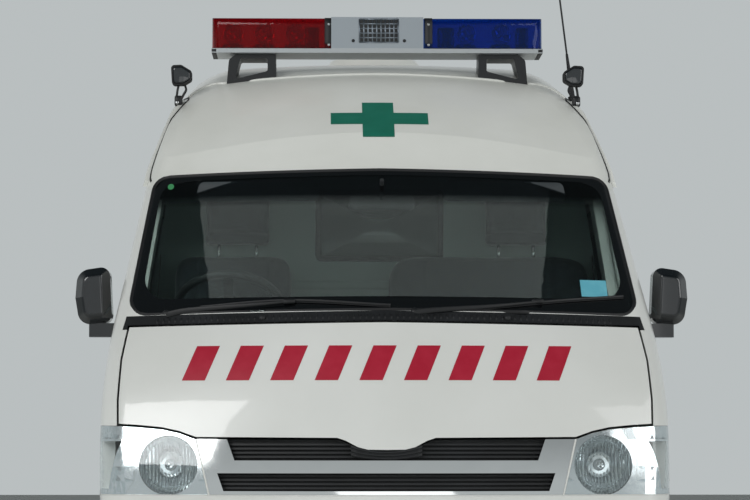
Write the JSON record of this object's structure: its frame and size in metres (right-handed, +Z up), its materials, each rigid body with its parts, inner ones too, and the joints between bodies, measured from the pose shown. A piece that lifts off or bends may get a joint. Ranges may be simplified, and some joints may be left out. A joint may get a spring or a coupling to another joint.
{
  "type": "ambulance van",
  "caption": "High-roof ambulance van with opening doors, bonnet and tailgate, steered front wheels, a warning light bar and a hollow cab and load space.",
  "frame": {"origin": "on the ground, on the centre plane, midway between the front and the rear bumper", "axes": "-Y to the front, +X to the vehicle's left, +Z up"},
  "size_m": [2.074, 5.3807, 2.6163],
  "materials": {
    "black_plastic": "moulded grained black plastic",
    "blue_lens": "moulded blue polycarbonate",
    "cast_iron": "rough cast",
    "chrome": "bright plated plastic",
    "clear_glass": "clear laminated glass",
    "cloth": "woven seat cloth",
    "dark_glass": "dark tinted glass",
    "floor_paint": "body primer and floor lining",
    "frame_black": "black chassis paint",
    "grey_plastic": "moulded grained grey plastic",
    "lens": "clear moulded polycarbonate",
    "red_lens": "moulded red polycarbonate",
    "satin_metal": "satin metal",
    "steel_rim": "silver enamel on pressed steel",
    "tyre": "rubber",
    "white_paint": "gloss white enamel"
  },
  "bodies": {
    "body": {"body_side_left": "white_paint", "body_side_right": "white_paint", "side_glass_left": "dark_glass", "side_glass_right": "dark_glass", "sliding_door": "white_paint", "sliding_door_glass": "dark_glass", "roof": "white_paint", "windscreen": "clear_glass", "cowl_grille": "black_plastic", "headlamp_lenses": "lens", "headlamp_housings": "chrome", "grille_chrome": "chrome", "grille_panel": "black_plastic", "front_bumper": "white_paint", "rear_bumper": "white_paint", "tail_lamps": "red_lens", "floor_pan": "floor_paint", "bulkhead": "floor_paint", "dashboard": "grey_plastic", "steering_column": "grey_plastic", "driver_seat": "cloth", "passenger_seat": "cloth", "partition": "grey_plastic", "frame_rails": "frame_black", "engine_block": "cast_iron", "front_suspension": "frame_black", "rear_axle": "frame_black", "leaf_springs": "frame_black", "light_bar_base": "satin_metal", "light_bar_red": "red_lens", "light_bar_blue": "blue_lens", "roof_vent": "white_paint", "search_lamps": "chrome", "aerial": "satin_metal", "wipers": "black_plastic", "rain_gutters": "white_paint", "propeller_shaft": "frame_black", "fuel_tank": "frame_black", "exhaust": "steel_rim"},
    "bonnet": {"bonnet": "white_paint"},
    "door_left": {"door_left": "white_paint", "door_glass_left": "clear_glass", "mirror_left": "black_plastic"},
    "door_right": {"door_right": "white_paint", "door_glass_right": "clear_glass", "mirror_right": "black_plastic"},
    "tailgate": {"tailgate": "white_paint", "tailgate_glass": "dark_glass"},
    "knuckle_left": {"knuckle_left": "cast_iron"},
    "knuckle_right": {"knuckle_right": "cast_iron"},
    "steering_wheel": {"steering_wheel": "black_plastic"},
    "wheel_front_left": {"tyre_front_left": "tyre", "rim_front_left": "steel_rim"},
    "wheel_front_right": {"tyre_front_right": "tyre", "rim_front_right": "steel_rim"},
    "wheel_rear_left": {"tyre_rear_left": "tyre", "rim_rear_left": "steel_rim"},
    "wheel_rear_right": {"tyre_rear_right": "tyre", "rim_rear_right": "steel_rim"}
  },
  "joints": [
    {"name": "bonnet_hinge", "type": "hinge", "parent": "body", "child": "bonnet", "pos_m": [0, -2.4755, 1.199], "axis": [-1, 0, 0], "range_deg": [0, 45]},
    {"name": "door_left_hinge", "type": "hinge", "parent": "body", "child": "door_left", "pos_m": [0.924, -2.0365, 1], "axis": [0, 0, -1], "range_deg": [0, 70]},
    {"name": "door_right_hinge", "type": "hinge", "parent": "body", "child": "door_right", "pos_m": [-0.924, -2.0365, 1], "axis": [0, 0, 1], "range_deg": [0, 70]},
    {"name": "tailgate_hinge", "type": "hinge", "parent": "body", "child": "tailgate", "pos_m": [0, 2.516, 2.04], "axis": [1, 0, 0], "range_deg": [0, 85]},
    {"name": "steer_right", "type": "hinge", "parent": "body", "child": "knuckle_right", "pos_m": [-0.76, -1.63, 0.345], "axis": [0, 0, 1], "range_deg": [-35, 35]},
    {"name": "steer_left", "type": "hinge", "parent": "body", "child": "knuckle_left", "pos_m": [0.76, -1.63, 0.345], "axis": [0, 0, 1], "range_deg": [-35, 35]},
    {"name": "steering_wheel_turn", "type": "hinge", "parent": "body", "child": "steering_wheel", "pos_m": [-0.525, -1.705, 1.275], "axis": [0, 0.6157, 0.788], "range_deg": [-525, 525]},
    {"name": "spin_front_left", "type": "hinge", "parent": "knuckle_left", "child": "wheel_front_left", "pos_m": [0.8275, -1.63, 0.345], "axis": [1, 0, 0], "continuous": true},
    {"name": "spin_front_right", "type": "hinge", "parent": "knuckle_right", "child": "wheel_front_right", "pos_m": [-0.8275, -1.63, 0.345], "axis": [1, 0, 0], "continuous": true},
    {"name": "spin_rear_left", "type": "hinge", "parent": "body", "child": "wheel_rear_left", "pos_m": [0.8275, 1.48, 0.345], "axis": [1, 0, 0], "continuous": true},
    {"name": "spin_rear_right", "type": "hinge", "parent": "body", "child": "wheel_rear_right", "pos_m": [-0.8275, 1.48, 0.345], "axis": [1, 0, 0], "continuous": true}
  ],
  "couplings": [
    {"joint": "steer_left", "follows": "steer_right", "ratio": 1},
    {"joint": "steering_wheel_turn", "follows": "steer_right", "ratio": 15}
  ]
}
